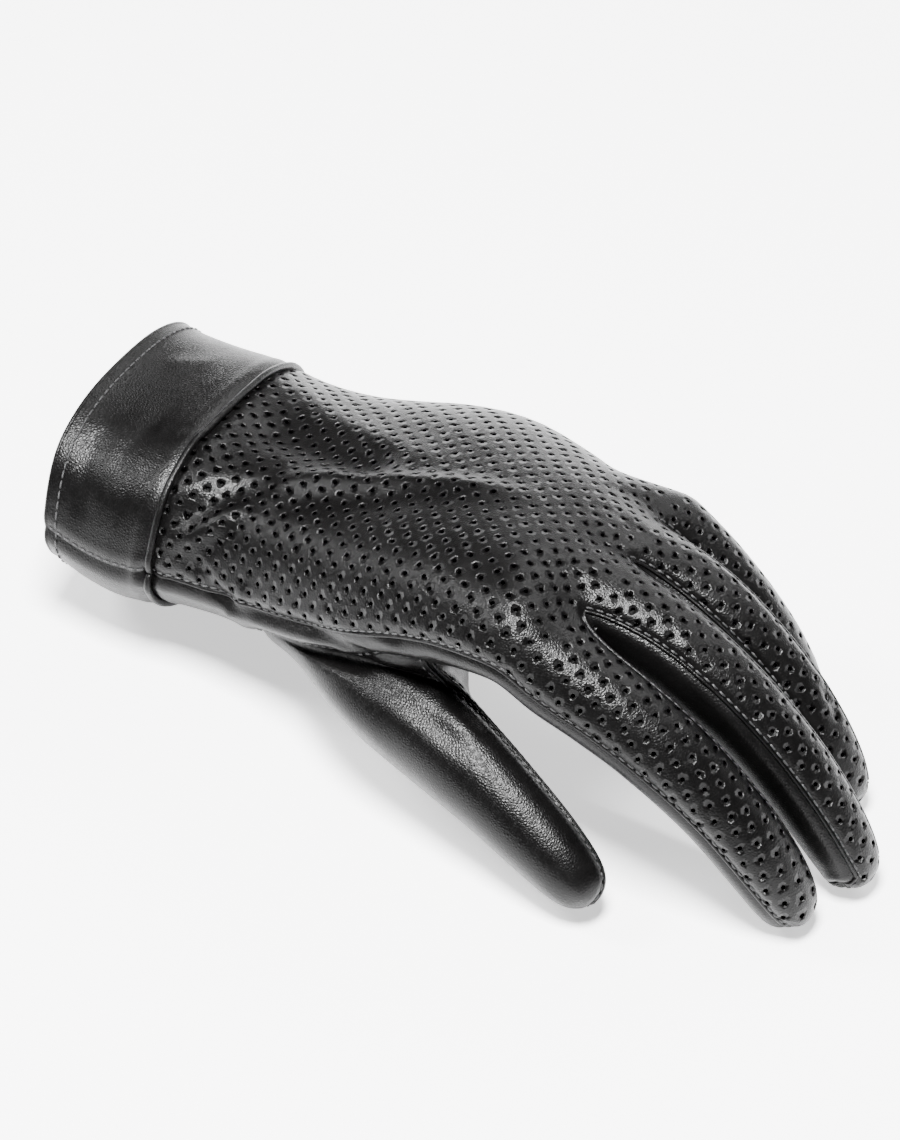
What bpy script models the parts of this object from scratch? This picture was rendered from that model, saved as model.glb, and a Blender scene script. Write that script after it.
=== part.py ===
# Left leather driving glove, palm down, worn to shape but empty.
# +X runs from the cuff to the fingertips, -Y is the thumb side, +Z is up,
# and the glove rests on z = 0 with its cuff, thumb tip and fingertips.
import bmesh
import bpy
from math import cos, radians, sin
from mathutils import Vector

MM = 0.001

# middle of the footprint, counted from the cuff mouth's centre, millimetres
FOOTPRINT = (108.17, -11.36, 0.0)

# sheet thicknesses and clearances, millimetres
LEATHER = 0.9
LINING = 0.5
LINING_GAP = 0.9
HAND_LINING_GAP = 2.0
SEAM_GAP = 0.32

# column positions across the hand, as fractions of the half width
COLUMNS = (-0.88, -0.66, -0.44, -0.22, 0.0, 0.22, 0.44, 0.66, 0.88)
SIDE_COLUMNS = ((0, 0), (1, 8))
SIDE_DROP = 0.12
SLANT_CENTRE = 0.2
SECTION_POWER = 2.4

# hand sections: x, y, z of the centre, width, height, roll in degrees,
# slant towards the thumb side, lean of the top towards the cuff
HAND_SECTIONS = (
    (-2.0, 0.0, 27.6, 84.0, 48.5, -11.0, 2.0, 2.0),
    (7.0, 0.0, 25.0, 85.0, 50.0, -11.0, 2.5, 1.8),
    (20.0, 0.0, 25.0, 86.0, 50.0, -11.0, 2.0, 1.4),
    (27.5, 0.0, 27.3, 85.0, 48.0, -11.0, 1.5, 1.0),
    (42.0, 0.0, 28.0, 83.0, 45.0, -11.0, 1.0, 0.0),
    (58.0, 0.5, 30.5, 86.0, 45.0, -10.0, 0.0, 0.0),
    (75.0, 1.0, 35.0, 96.0, 45.0, -9.0, 0.0, 0.0),
    (93.0, 0.0, 41.3, 100.0, 42.0, -12.0, 0.0, 0.0),
    (110.0, -3.5, 47.5, 97.0, 37.0, -16.0, 3.0, 0.0),
    (121.5, -7.0, 51.0, 94.0, 34.0, -15.5, 5.0, 0.0),
    (131.0, -9.5, 53.0, 91.0, 31.5, -15.5, 7.0, 0.0),
)
CUFF_ROWS = 3
THUMB_ROWS = (5, 6, 7, 8)
THUMB_COLUMNS = (0, 1, 2, 3)

# fingers: root, bend and tip centres, root width and height, tip width
FINGERS = {
    "index": ((143.0, -39.7, 55.0), (188.0, -40.5, 45.0), (208.0, -38.7, 8.0), 23.5, 23.5, 18.5),
    "middle": ((147.0, -15.7, 57.0), (192.0, -17.5, 47.0), (215.0, -19.7, 8.0), 22.6, 23.0, 18.5),
    "ring": ((143.5, 6.5, 52.0), (183.5, 5.2, 40.5), (201.0, 1.8, 8.0), 21.0, 21.5, 17.5),
    "little": ((136.0, 28.8, 43.5), (164.0, 27.2, 30.0), (179.0, 23.0, 7.0), 18.0, 19.0, 15.5),
}
FINGER_SHEAR = {"index": 0.0, "middle": 0.0, "ring": 0.0, "little": -4.0}
FINGER_NAMES = ("index", "middle", "ring", "little")
FINGER_STATIONS = ((0.14, 1.0, 0.0), (0.36, 1.0, 0.0), (0.64, 0.98, 0.0), (0.9, 0.98, 0.0), (1.0, 0.78, 0.5))
TIP_REACH = 1.0
TAPER_POWER = 1.5
CROTCH_BACK = 5.0
CROTCH_PALM = 0.5
RING_ANGLES = (135, 90, 45, 0, -45, -90, -135, 180)
RING_SWELL = 1.08

# thumb: root, bend and tip centres, root width and height, tip width
THUMB = ((91.0, -41.5, 27.5), (130.0, -53.5, 28.0), (161.5, -60.0, 10.5), 27.0, 27.5, 19.0)
THUMB_STATIONS = ((0.17, 1.0, 0.0), (0.36, 0.98, 0.0), (0.62, 0.96, 0.0), (0.88, 0.95, 0.0), (1.0, 0.78, 0.5))
THUMB_SHEAR = (17.0, 8.0, 2.0, 0.0, 0.0)
THUMB_ANGLES = (135, 105, 75, 45, 15, -15, -45, -75, -105, -135, -165, 165)

# beads that lie over the seams: half width, low edge and crown above the skin
WELT = (1.3, 0.3, 1.4)
SEAM_THREAD = (0.45, 0.3, 0.75)
TOPSTITCH_INSET = 2.6
BEAD_SHOULDER = (0.6, 0.85)

# the stalls hinge at this share of their length
HINGE_STATION = 0.05

# finishes: colour and roughness
BLACK_GRAIN = ((0.018, 0.017, 0.017), 0.5)
BLACK_SMOOTH = ((0.012, 0.012, 0.012), 0.4)
BLACK_CLOTH = ((0.008, 0.008, 0.009), 0.9)
BLACK_THREAD = ((0.02, 0.02, 0.02), 0.6)


def clear_scene():
    for item in list(bpy.data.objects):
        bpy.data.objects.remove(item, do_unlink=True)


def principled(name, colour, roughness):
    material = bpy.data.materials.new(name)
    material.use_nodes = True
    shader = material.node_tree.nodes["Principled BSDF"]
    shader.inputs["Base Color"].default_value = (*colour, 1.0)
    shader.inputs["Roughness"].default_value = roughness
    material.diffuse_color = (*colour, 1.0)
    return material


def bezier(root, bend, tip, t):
    a, b, c = Vector(root), Vector(bend), Vector(tip)
    return a * (1 - t) ** 2 + b * (2 * t * (1 - t)) + c * t * t


def bezier_frame(root, bend, tip, t):
    a, b, c = Vector(root), Vector(bend), Vector(tip)
    along = ((b - a) * (1 - t) + (c - b) * t).normalized()
    up = (Vector((0, 0, 1)) - along * along.z).normalized()
    side = up.cross(along).normalized()
    return along, side, up


def taper_at(stall, t):
    width, tip_width = stall[3], stall[5]
    return 1 + (tip_width / width - 1) * t ** TAPER_POWER


def tube_ring(stall, station, angles, swell=1.0, shear=0.0):
    # one cross-section of a stall; the last ones sit ahead of its tip centre
    t, scale, ahead = station
    path, width, height = stall[:3], stall[3], stall[4]
    along, side, up = bezier_frame(*path, t)
    taper = taper_at(stall, t)
    centre = bezier(*path, t) + along * ahead * width / 2 * taper
    half_w = width / 2 * taper * scale * swell
    half_h = height / 2 * taper * scale * swell
    ring = []
    for angle in angles:
        a = radians(angle)
        offset = side * half_w * cos(a) + up * half_h * sin(a)
        ring.append(centre + offset + along * shear * cos(a))
    return ring


def tip_point(stall):
    path, width = stall[:3], stall[3]
    along = bezier_frame(*path, 1.0)[0]
    return bezier(*path, 1.0) + along * TIP_REACH * width / 2 * taper_at(stall, 1.0)


def section_point(section, across, below):
    x, y, z, width, height, roll, slant, lean = section
    bulge = (1 - abs(across) ** SECTION_POWER) ** (1 / SECTION_POWER) if abs(across) < 1 else 0.0
    dy = across * width / 2
    dz = bulge * height / 2
    if below:
        dz = -dz
    if abs(across) >= 1:
        dz = -SIDE_DROP * height
    r = radians(roll)
    dx = -slant * (across + SLANT_CENTRE) - lean * 2 * dz / height
    return Vector((x + dx, y + dy * cos(r) - dz * sin(r), z + dz * cos(r) + dy * sin(r)))


class Cage:
    # named corner points and tagged faces of the whole glove skin
    def __init__(self):
        self.points = {}
        self.order = []
        self.faces = []

    def add(self, key, place):
        self.points[key] = len(self.order)
        self.order.append(Vector(place))

    def face(self, keys, tag):
        self.faces.append(([self.points[key] for key in keys], tag))


def hand_ring_keys(row):
    back = [("b", row, j) for j in range(9)]
    palm = [("p", row, j) for j in range(8, -1, -1)]
    return back + [("s", row, 1)] + palm + [("s", row, 0)]


def add_hand_points(cage):
    for row, section in enumerate(HAND_SECTIONS):
        for j, across in enumerate(COLUMNS):
            cage.add(("b", row, j), section_point(section, across, False))
            cage.add(("p", row, j), section_point(section, across, True))
        cage.add(("s", row, 0), section_point(section, -1.0, False))
        cage.add(("s", row, 1), section_point(section, 1.0, False))


def finger_rings(name):
    rings = [tube_ring(FINGERS[name], (0.0, 1.0, 0.0), RING_ANGLES, RING_SWELL)]
    for k, station in enumerate(FINGER_STATIONS):
        shear = FINGER_SHEAR[name] if k == 0 else 0.0
        rings.append(tube_ring(FINGERS[name], station, RING_ANGLES, RING_SWELL, shear))
    return rings


def add_crotch_points(cage, rings):
    # columns shared by neighbouring fingers meet halfway between them
    last = len(HAND_SECTIONS)
    for i in range(5):
        left = rings[FINGER_NAMES[i - 1]][0] if i > 0 else None
        right = rings[FINGER_NAMES[i]][0] if i < 4 else None
        if left and right:
            back = (left[2] + right[0]) / 2 - Vector((CROTCH_BACK, 0, 0))
            side = (left[3] + right[7]) / 2
            palm = (left[4] + right[6]) / 2 + Vector((CROTCH_PALM, 0, 0))
        elif right:
            back, side, palm = right[0], right[7], right[6]
        else:
            back, side, palm = left[2], left[3], left[4]
        cage.add(("b", last, 2 * i), back)
        cage.add(("s", last, 2 * i), side)
        cage.add(("p", last, 2 * i), palm)
    for i, name in enumerate(FINGER_NAMES):
        cage.add(("b", last, 2 * i + 1), rings[name][0][1])
        cage.add(("p", last, 2 * i + 1), rings[name][0][5])


def crotch_keys(i):
    last = len(HAND_SECTIONS)
    left, mid, right = 2 * i, 2 * i + 1, 2 * i + 2
    return [("b", last, left), ("b", last, mid), ("b", last, right), ("s", last, right),
            ("p", last, right), ("p", last, mid), ("p", last, left), ("s", last, left)]


def hand_tag(row, kind):
    if row < CUFF_ROWS:
        return "cuff_back" if kind == "b" else "cuff_palm"
    return "hand_back" if kind == "b" else "hand_palm"


def add_hand_faces(cage):
    last = len(HAND_SECTIONS)
    for row in range(last):
        low, high = row, row + 1
        for j in range(8):
            cage.face([("b", low, j), ("b", high, j), ("b", high, j + 1), ("b", low, j + 1)],
                      hand_tag(row, "b"))
            if row in THUMB_ROWS[:-1] and j in THUMB_COLUMNS[:-1]:
                continue
            cage.face([("p", low, j + 1), ("p", high, j + 1), ("p", high, j), ("p", low, j)],
                      hand_tag(row, "p"))
        for side, column in SIDE_COLUMNS:
            top = column if high == last else side
            edges = [("b", low, column), ("s", low, side), ("s", high, top), ("b", high, column)]
            under = [("s", low, side), ("p", low, column), ("p", high, column), ("s", high, top)]
            if side == 1:
                edges.reverse()
                under.reverse()
            cage.face(edges, hand_tag(row, "b"))
            cage.face(under, hand_tag(row, "p"))


def finger_face_tag(name, i, k):
    # ring spans: 0-1 back, 2-3 inner side, 4-5 palm, 6-7 outer side
    if k in (0, 1):
        return name + "_back"
    if k in (4, 5):
        return name + "_palm"
    if k in (2, 3):
        if i == 3:
            return name + ("_back" if k == 2 else "_palm")
        return name + "_gusset_far"
    if i == 0:
        return name + ("_back" if k == 7 else "_palm")
    return name + "_gusset_near"


def add_tube(cage, name, first, rings, tip, tags):
    count = len(first)
    previous = first
    for level, ring in enumerate(rings):
        keys = []
        for k, place in enumerate(ring):
            key = (name, level, k)
            cage.add(key, place)
            keys.append(key)
        for k in range(count):
            n = (k + 1) % count
            tag = name + "_flex" if level == 0 else tags(k)
            cage.face([previous[k], keys[k], keys[n], previous[n]], tag)
        previous = keys
    centre = (name, "tip", 0)
    cage.add(centre, tip)
    return previous, centre


def add_fingers(cage, rings):
    for i, name in enumerate(FINGER_NAMES):
        last, centre = add_tube(cage, name, crotch_keys(i), rings[name][1:], tip_point(FINGERS[name]),
                                lambda k, i=i, name=name: finger_face_tag(name, i, k))
        caps = ((7, 0, 1, "_back"), (1, 2, 3, "_back"), (3, 4, 5, "_palm"), (5, 6, 7, "_palm"))
        for a, b, c, part in caps:
            cage.face([last[a], centre, last[c], last[b]], name + part)


def thumb_hole_keys():
    first, last = THUMB_ROWS[0], THUMB_ROWS[-1]
    keys = [("p", row, 0) for row in THUMB_ROWS]
    keys += [("p", last, j) for j in (1, 2, 3)]
    keys += [("p", row, 3) for row in (last - 1, last - 2, first)]
    keys += [("p", first, j) for j in (2, 1)]
    return keys


def thumb_face_tag(k):
    return "thumb_inner" if k in (3, 4, 5, 6) else "thumb_outer"


def add_thumb(cage):
    rings = []
    for station, shear in zip(THUMB_STATIONS, THUMB_SHEAR):
        rings.append(tube_ring(THUMB, station, THUMB_ANGLES, 1.0, shear))
    last, centre = add_tube(cage, "thumb", thumb_hole_keys(), rings, tip_point(THUMB), thumb_face_tag)
    for k in range(0, 12, 2):
        a, b, c = (k + 1) % 12, (k + 2) % 12, (k + 3) % 12
        cage.face([last[a], centre, last[c], last[b]], thumb_face_tag((k + 1) % 12))


def build_cage():
    cage = Cage()
    add_hand_points(cage)
    rings = {name: finger_rings(name) for name in FINGER_NAMES}
    add_crotch_points(cage, rings)
    add_hand_faces(cage)
    add_fingers(cage, rings)
    add_thumb(cage)
    return cage


class Skin:
    # smoothed skin in metres: points, outward normals and tagged faces
    def __init__(self, points, normals, faces):
        self.points = points
        self.normals = normals
        self.faces = faces

    def tags(self):
        return sorted({tag for _, tag in self.faces})

    def place(self, vertex, depth):
        return self.points[vertex] - self.normals[vertex] * depth * MM


def smooth_skins(cage):
    # one Catmull-Clark step over the whole skin, panel tags kept per face;
    # the coarse skin keeps the cage's own corners after they are smoothed
    tags = sorted({tag for _, tag in cage.faces})
    mesh = bpy.data.meshes.new("skin")
    mesh.from_pydata([placed(p) for p in cage.order], [], [f for f, _ in cage.faces])
    for tag in tags:
        mesh.materials.append(bpy.data.materials.new("tag_" + tag))
    for polygon, (_, tag) in zip(mesh.polygons, cage.faces):
        polygon.material_index = tags.index(tag)
    skin = bpy.data.objects.new("skin", mesh)
    bpy.context.scene.collection.objects.link(skin)
    step = skin.modifiers.new("smooth", "SUBSURF")
    step.levels = 1
    step.render_levels = 1
    graph = bpy.context.evaluated_depsgraph_get()
    smooth = bpy.data.meshes.new_from_object(skin.evaluated_get(graph))
    bpy.data.objects.remove(skin, do_unlink=True)
    points = [rested(v.co) for v in smooth.vertices]
    normals = [v.normal.copy() for v in smooth.vertices]
    faces = [(list(p.vertices), tags[p.material_index]) for p in smooth.polygons]
    corners = len(cage.order)
    coarse = Skin(points[:corners], normals[:corners], cage.faces)
    return Skin(points, normals, faces), coarse


def placed(place):
    # section coordinates to metres about the middle of the footprint
    return (Vector(place) - Vector(FOOTPRINT)) * MM


def rested(place):
    # nothing of the skin reaches below the surface the glove lies on
    return Vector((place.x, place.y, max(place.z, 0.0)))


def edge_pull(skin, chosen, rim):
    # every panel edge stops half a seam gap short of its seam line
    along = {}
    for a, b in rim:
        way = (skin.points[b] - skin.points[a]).normalized()
        along.setdefault(a, []).append(way)
        along.setdefault(b, []).append(way)
    inward = {}
    for face in chosen:
        centre = sum((skin.points[v] for v in face), Vector()) / len(face)
        for v in face:
            if v in along:
                inward.setdefault(v, Vector())
                inward[v] += centre - skin.points[v]
    pull = {}
    for v, into in inward.items():
        line = sum(along[v], Vector())
        if line.length > 1e-9:
            line.normalize()
            into = into - line * into.dot(line)
        pull[v] = into.normalized() * SEAM_GAP / 2 * MM
    return pull


def own_normals(skin, chosen):
    # outward normals of the chosen faces alone, without their neighbours
    sums = {}
    for face in chosen:
        a, b, c = (skin.points[v] for v in (face[0], face[1], face[2]))
        d = skin.points[face[3]]
        normal = (c - a).cross(d - b)
        for v in face:
            sums[v] = sums.get(v, Vector()) + normal
    return {v: total.normalized() for v, total in sums.items()}


def lining_mesh(name, skin, wanted, gap, beyond=frozenset()):
    # the lining leaves out every face that touches a corner in beyond
    chosen = [(face, tag) for face, tag in skin.faces
              if tag in wanted and not beyond.intersection(face)]
    normals = own_normals(skin, [face for face, _ in chosen])
    depth = LEATHER + gap
    alone = Skin(skin.points, normals, chosen)
    return panel_mesh(name, alone, wanted, depth, depth + LINING)


def panel_mesh(name, skin, wanted, outer, inner):
    # a sheet between two depths under the skin, over the faces of some tags
    chosen = [face for face, tag in skin.faces if tag in wanted]
    used = sorted({v for face in chosen for v in face})
    index = {v: k for k, v in enumerate(used)}
    edges = {(a, b) for face in chosen for a, b in zip(face, face[1:] + face[:1])}
    rim = sorted((a, b) for a, b in edges if (b, a) not in edges)
    pull = edge_pull(skin, chosen, rim)
    top = [skin.place(v, outer) + pull.get(v, Vector()) for v in used]
    under = [skin.place(v, inner) + pull.get(v, Vector()) for v in used]
    count = len(used)
    polygons = [[index[v] for v in face] for face in chosen]
    polygons += [[index[v] + count for v in reversed(face)] for face in chosen]
    polygons += [[index[b], index[a], index[a] + count, index[b] + count] for a, b in rim]
    mesh = bpy.data.meshes.new(name)
    mesh.from_pydata(top + under, [], polygons)
    return mesh


def seam_chains(skin, first, second):
    # ordered vertex runs along the seam between two groups of tags
    owner = {}
    for face, tag in skin.faces:
        for a, b in zip(face, face[1:] + face[:1]):
            owner[(a, b)] = tag
    links = {}
    for (a, b), tag in owner.items():
        other = owner.get((b, a))
        if tag in first and other in second:
            links[a] = b
    starts = sorted(set(links) - set(links.values()))
    chains = []
    while links:
        at = starts.pop(0) if starts else min(links)
        chain = [at]
        while at in links:
            at = links.pop(at)
            chain.append(at)
        chains.append(chain)
    return chains


def bead_mesh(name, rows, closed, bead):
    # a low rounded strip swept along rows of (place, normal, sideways)
    half, low, crown = (value * MM for value in bead)
    shoulder, rise = half * BEAD_SHOULDER[0], crown * BEAD_SHOULDER[1]
    profile = ((-half, low), (-shoulder, rise), (shoulder, rise), (half, low))
    points = []
    for place, normal, sideways in rows:
        points += [place + sideways * x + normal * z for x, z in profile]
    sides, count = len(profile), len(rows)
    polygons = []
    for r in range(count if closed else count - 1):
        here, ahead = r * sides, (r + 1) % count * sides
        for k in range(sides):
            n = (k + 1) % sides
            polygons.append([here + k, here + n, ahead + n, ahead + k])
    if not closed:
        polygons.append(list(range(sides - 1, -1, -1)))
        polygons.append([(count - 1) * sides + k for k in range(sides)])
    mesh = bpy.data.meshes.new(name)
    mesh.from_pydata(points, [], polygons)
    return faced_out(mesh)


def faced_out(mesh):
    work = bmesh.new()
    work.from_mesh(mesh)
    bmesh.ops.recalc_face_normals(work, faces=work.faces)
    work.to_mesh(mesh)
    work.free()
    return mesh


def chain_rows(skin, chain, closed, inset):
    verts = chain[:-1] if closed else chain
    rows = []
    for k, v in enumerate(verts):
        before = verts[k - 1] if closed or k > 0 else verts[k]
        after = verts[(k + 1) % len(verts)] if closed or k < len(verts) - 1 else verts[k]
        way = (skin.points[after] - skin.points[before]).normalized()
        normal = skin.normals[v]
        sideways = way.cross(normal).normalized()
        rows.append((skin.points[v] + sideways * inset * MM, normal, sideways))
    return rows


def mouth_chain(skin):
    edges = {(a, b) for face, _ in skin.faces for a, b in zip(face, face[1:] + face[:1])}
    links = {b: a for a, b in edges if (b, a) not in edges}
    at = min(links)
    chain = [at]
    while True:
        at = links[at]
        chain.append(at)
        if at == chain[0]:
            return chain


def add_node(name, mesh, material, origin=(0.0, 0.0, 0.0)):
    place = Vector(origin)
    for vertex in mesh.vertices:
        vertex.co -= place
    mesh.materials.clear()
    mesh.materials.append(material)
    for polygon in mesh.polygons:
        polygon.use_smooth = True
    item = bpy.data.objects.new(name, mesh)
    item.location = place
    bpy.context.scene.collection.objects.link(item)


def hinge_point(name):
    path = THUMB[:3] if name == "thumb" else FINGERS[name][:3]
    return placed(bezier(*path, HINGE_STATION))


def add_hand_nodes(skin, coarse, crotch, grain, smooth, cloth, thread):
    hand = {"hand_back": grain, "hand_palm": smooth, "cuff_back": smooth, "cuff_palm": smooth}
    for tag, material in hand.items():
        add_node(tag, panel_mesh(tag, skin, {tag}, 0.0, LEATHER), material)
    cuff = {"cuff_back", "cuff_palm"}
    add_node("cuff_facing", lining_mesh("cuff_facing", coarse, cuff, LINING_GAP), smooth)
    lining = lining_mesh("hand_lining", coarse, {"hand_back", "hand_palm"}, HAND_LINING_GAP, crotch)
    add_node("hand_lining", lining, cloth)
    seam = seam_chains(skin, cuff, {"hand_back", "hand_palm"})[0]
    welt = bead_mesh("cuff_welt", chain_rows(skin, seam, True, 0.0), True, WELT)
    add_node("cuff_welt", welt, smooth)
    stitch = chain_rows(skin, mouth_chain(skin), True, TOPSTITCH_INSET)
    add_node("mouth_stitch", bead_mesh("mouth_stitch", stitch, True, SEAM_THREAD), thread)
    sides = seam_chains(skin, {"hand_back"}, {"hand_palm"})
    sides.sort(key=lambda chain: skin.points[chain[0]].y)
    for name, chain in zip(("seam_thumb_side", "seam_little_side"), sides):
        rows = chain_rows(skin, chain, False, 0.0)[1:-1]
        add_node(name, bead_mesh(name, rows, False, SEAM_THREAD), thread)


def add_stall_nodes(skin, coarse, grain, smooth, cloth):
    for tag in skin.tags():
        stall = tag.split("_")[0]
        if stall in ("hand", "cuff"):
            continue
        flex = tag.endswith("_flex")
        origin = Vector() if flex else hinge_point(stall)
        material = grain if tag.endswith("_back") else smooth
        add_node(tag, panel_mesh(tag, skin, {tag}, 0.0, LEATHER), material, origin)
    for stall in FINGER_NAMES + ("thumb",):
        wanted = {tag for tag in skin.tags() if tag.startswith(stall) and not tag.endswith("_flex")}
        lining = lining_mesh(stall + "_lining", coarse, wanted, LINING_GAP)
        add_node(stall + "_lining", lining, cloth, hinge_point(stall))


def main():
    clear_scene()
    cage = build_cage()
    skin, coarse = smooth_skins(cage)
    crotch = {at for key, at in cage.points.items() if key[1] == len(HAND_SECTIONS)}
    for material in list(bpy.data.materials):
        bpy.data.materials.remove(material)
    grain = principled("perforated_leather", *BLACK_GRAIN)
    smooth = principled("smooth_leather", *BLACK_SMOOTH)
    cloth = principled("lining_cloth", *BLACK_CLOTH)
    thread = principled("black_thread", *BLACK_THREAD)
    add_hand_nodes(skin, coarse, crotch, grain, smooth, cloth, thread)
    add_stall_nodes(skin, coarse, grain, smooth, cloth)


main()
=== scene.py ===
import math

import bpy
import numpy as np
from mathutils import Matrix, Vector
from mathutils.bvhtree import BVHTree
from mathutils.geometry import barycentric_transform, delaunay_2d_cdt
from mathutils.kdtree import KDTree


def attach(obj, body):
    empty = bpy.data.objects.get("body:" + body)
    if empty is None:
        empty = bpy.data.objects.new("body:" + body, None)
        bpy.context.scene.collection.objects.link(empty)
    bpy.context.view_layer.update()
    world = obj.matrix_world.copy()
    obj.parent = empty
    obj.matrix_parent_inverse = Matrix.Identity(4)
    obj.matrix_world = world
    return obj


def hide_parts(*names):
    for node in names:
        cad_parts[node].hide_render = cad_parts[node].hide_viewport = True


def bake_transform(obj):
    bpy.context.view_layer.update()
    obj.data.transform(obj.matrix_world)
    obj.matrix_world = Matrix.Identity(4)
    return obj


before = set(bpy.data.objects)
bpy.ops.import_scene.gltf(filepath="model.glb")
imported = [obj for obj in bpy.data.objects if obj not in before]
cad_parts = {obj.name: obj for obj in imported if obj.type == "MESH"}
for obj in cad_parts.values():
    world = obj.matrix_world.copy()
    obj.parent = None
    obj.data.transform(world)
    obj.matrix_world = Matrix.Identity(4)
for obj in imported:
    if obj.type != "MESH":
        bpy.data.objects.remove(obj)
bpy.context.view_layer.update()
bpy.ops.object.select_all(action="DESELECT")

mm = 0.001
footprint = Vector((108.17, -11.36, 0.0))  # middle of the footprint, from the cuff mouth


# the glove's skin: one cage of sections and stall rings, smoothed as a whole

skinShape = {
    "sideDrop": 0.12,  # how far the side edges sit below the middle, as a share of the height
    "sectionPower": 2.4,  # 2 gives an oval hand section, more gives a squarer one
    "slantCentre": 0.2,
    "taperPower": 1.5,  # how late a stall narrows to its tip
    "crotchBack": 5.0,  # mm that the leather between two stalls reaches back
    "crotchPalm": 0.5,
    "ringSwell": 1.08,  # finger rings before smoothing shrinks them
    "aboveTable": 0.0002,  # m
    "cuffLift": 0.8,  # mm that the folded cuff stands proud
}
columns = (-0.88, -0.66, -0.44, -0.22, 0.0, 0.22, 0.44, 0.66, 0.88)
handSections = (  # x, y, z, width, height, roll, slant, lean, in mm and degrees
    (-2.0, 0.0, 27.6, 84.0, 48.5, -11.0, 2.0, 2.0),
    (7.0, 0.0, 25.0, 85.0, 50.0, -11.0, 2.5, 1.8),
    (20.0, 0.0, 25.0, 86.0, 50.0, -11.0, 2.0, 1.4),
    (27.5, 0.0, 27.3, 85.0, 48.0, -11.0, 1.5, 1.0),
    (42.0, 0.0, 28.0, 83.0, 45.0, -11.0, 1.0, 0.0),
    (58.0, 0.5, 30.5, 86.0, 45.0, -10.0, 0.0, 0.0),
    (75.0, 1.0, 35.0, 96.0, 45.0, -9.0, 0.0, 0.0),
    (93.0, 0.0, 41.3, 100.0, 42.0, -12.0, 0.0, 0.0),
    (110.0, -3.5, 47.5, 97.0, 37.0, -16.0, 3.0, 0.0),
    (121.5, -7.0, 51.0, 94.0, 34.0, -15.5, 5.0, 0.0),
    (131.0, -9.5, 53.0, 91.0, 31.5, -15.5, 7.0, 0.0),
)
cuffRows = 3
thumbRows = (5, 6, 7, 8)
thumbColumns = (0, 1, 2, 3)

stalls = {  # root, bend and tip centres, root width and height, tip width
    "index": ((143.0, -39.7, 55.0), (188.0, -40.5, 45.0), (208.0, -38.7, 8.0), 23.5, 23.5, 18.5),
    "middle": ((147.0, -15.7, 57.0), (192.0, -17.5, 47.0), (215.0, -19.7, 8.0), 22.6, 23.0, 18.5),
    "ring": ((143.5, 6.5, 52.0), (183.5, 5.2, 40.5), (201.0, 1.8, 8.0), 21.0, 21.5, 17.5),
    "little": ((136.0, 28.8, 43.5), (164.0, 27.2, 30.0), (179.0, 23.0, 7.0), 18.0, 19.0, 15.5),
    "thumb": ((91.0, -41.5, 27.5), (130.0, -53.5, 28.0), (161.5, -60.0, 10.5), 27.0, 27.5, 19.0),
}
fingers = ("index", "middle", "ring", "little")
firstShear = {"index": 0.0, "middle": 0.0, "ring": 0.0, "little": -4.0}
fingerStations = ((0.14, 1.0, 0.0), (0.36, 1.0, 0.0), (0.64, 0.98, 0.0), (0.9, 0.98, 0.0), (1.0, 0.78, 0.5))
thumbStations = ((0.17, 1.0, 0.0), (0.36, 0.98, 0.0), (0.62, 0.96, 0.0), (0.88, 0.95, 0.0), (1.0, 0.78, 0.5))
thumbShear = (17.0, 8.0, 2.0, 0.0, 0.0)
ringAngles = (135, 90, 45, 0, -45, -90, -135, 180)
thumbAngles = (135, 105, 75, 45, 15, -15, -45, -75, -105, -135, -165, 165)


def onPath(stall, t):
    a, b, c = (Vector(p) for p in stalls[stall][:3])
    return a * (1 - t) ** 2 + b * (2 * t * (1 - t)) + c * t * t


def pathFrame(stall, t):
    a, b, c = (Vector(p) for p in stalls[stall][:3])
    along = ((b - a) * (1 - t) + (c - b) * t).normalized()
    up = (Vector((0, 0, 1)) - along * along.z).normalized()
    return along, up.cross(along).normalized(), up


def taper(stall, t):
    width, tip = stalls[stall][3], stalls[stall][5]
    return 1 + (tip / width - 1) * t ** skinShape["taperPower"]


def stallRing(stall, station, angles, swell, shear=0.0):
    t, scale, ahead = station
    width, height = stalls[stall][3:5]
    along, side, up = pathFrame(stall, t)
    size = taper(stall, t)
    centre = onPath(stall, t) + along * ahead * width / 2 * size
    ring = []
    for angle in angles:
        a = math.radians(angle)
        offset = side * (width * math.cos(a)) + up * (height * math.sin(a))
        ring.append(centre + offset * (size * scale * swell / 2) + along * shear * math.cos(a))
    return ring


def stallTip(stall):
    return onPath(stall, 1.0) + pathFrame(stall, 1.0)[0] * stalls[stall][3] / 2 * taper(stall, 1.0)


def sectionPoint(section, across, below):
    x, y, z, width, height, roll, slant, lean = section
    power = skinShape["sectionPower"]
    bulge = (1 - abs(across) ** power) ** (1 / power) if abs(across) < 1 else 0.0
    dy = across * width / 2
    dz = bulge * height / 2 * (-1 if below else 1)
    if abs(across) >= 1:
        dz = -skinShape["sideDrop"] * height
    r = math.radians(roll)
    dx = -slant * (across + skinShape["slantCentre"]) - lean * 2 * dz / height
    return Vector((x + dx, y + dy * math.cos(r) - dz * math.sin(r), z + dz * math.cos(r) + dy * math.sin(r)))


class Cage:
    def __init__(self):
        self.index, self.points, self.faces, self.tags = {}, [], [], []

    def add(self, key, place):
        self.index[key] = len(self.points)
        self.points.append(Vector(place))

    def face(self, keys, tag):
        self.faces.append([self.index[k] for k in keys])
        self.tags.append(tag)


def handTag(row, kind):
    return ("cuff" if row < cuffRows else "hand") + ("Back" if kind == "b" else "Palm")


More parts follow.
